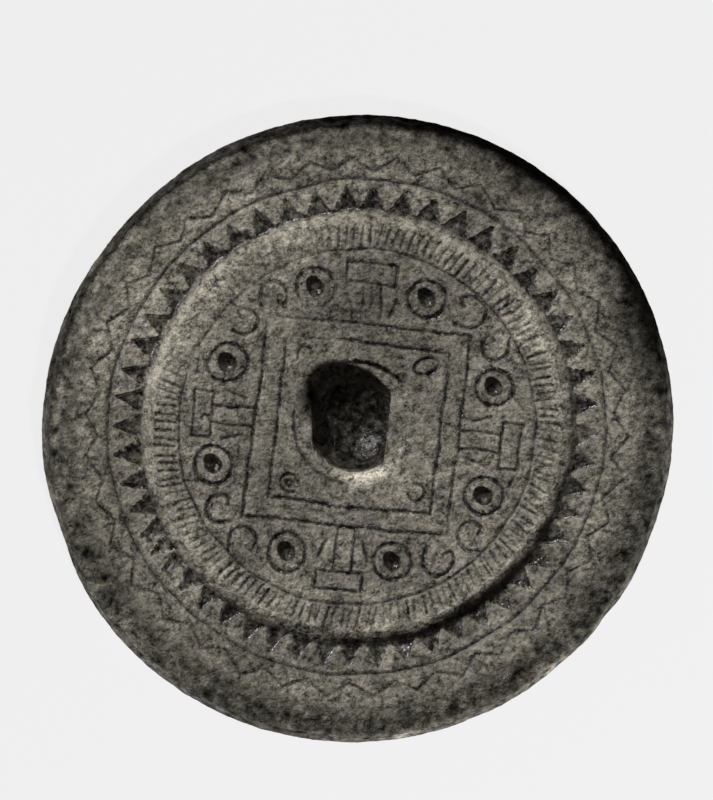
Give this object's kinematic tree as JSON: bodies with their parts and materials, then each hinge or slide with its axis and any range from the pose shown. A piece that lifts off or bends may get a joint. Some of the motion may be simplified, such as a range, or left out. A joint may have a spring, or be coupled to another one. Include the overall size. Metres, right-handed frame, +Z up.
{
  "type": "ancient bronze mirror",
  "caption": "Round cast-bronze hand mirror lying face down: pierced dome knob, square and T pattern with nipples and scrolls, comb-tooth, sawtooth and zigzag bands, raised rim.",
  "frame": {"origin": "under the middle of the outline at the lowest point of the polished face, on the surface that the mirror lies on", "axes": "+Z up out of the decorated back, X and Y along the sides of the square border, X along the cord hole of the knob"},
  "size_m": [0.1002, 0.1004, 0.0091],
  "materials": {
    "bronze": "dark tin bronze with a rubbed dark patina on raised work and a matt grey deposit in the ground"
  },
  "bodies": {
    "root": {"bronze_mirror": "bronze"}
  },
  "joints": []
}
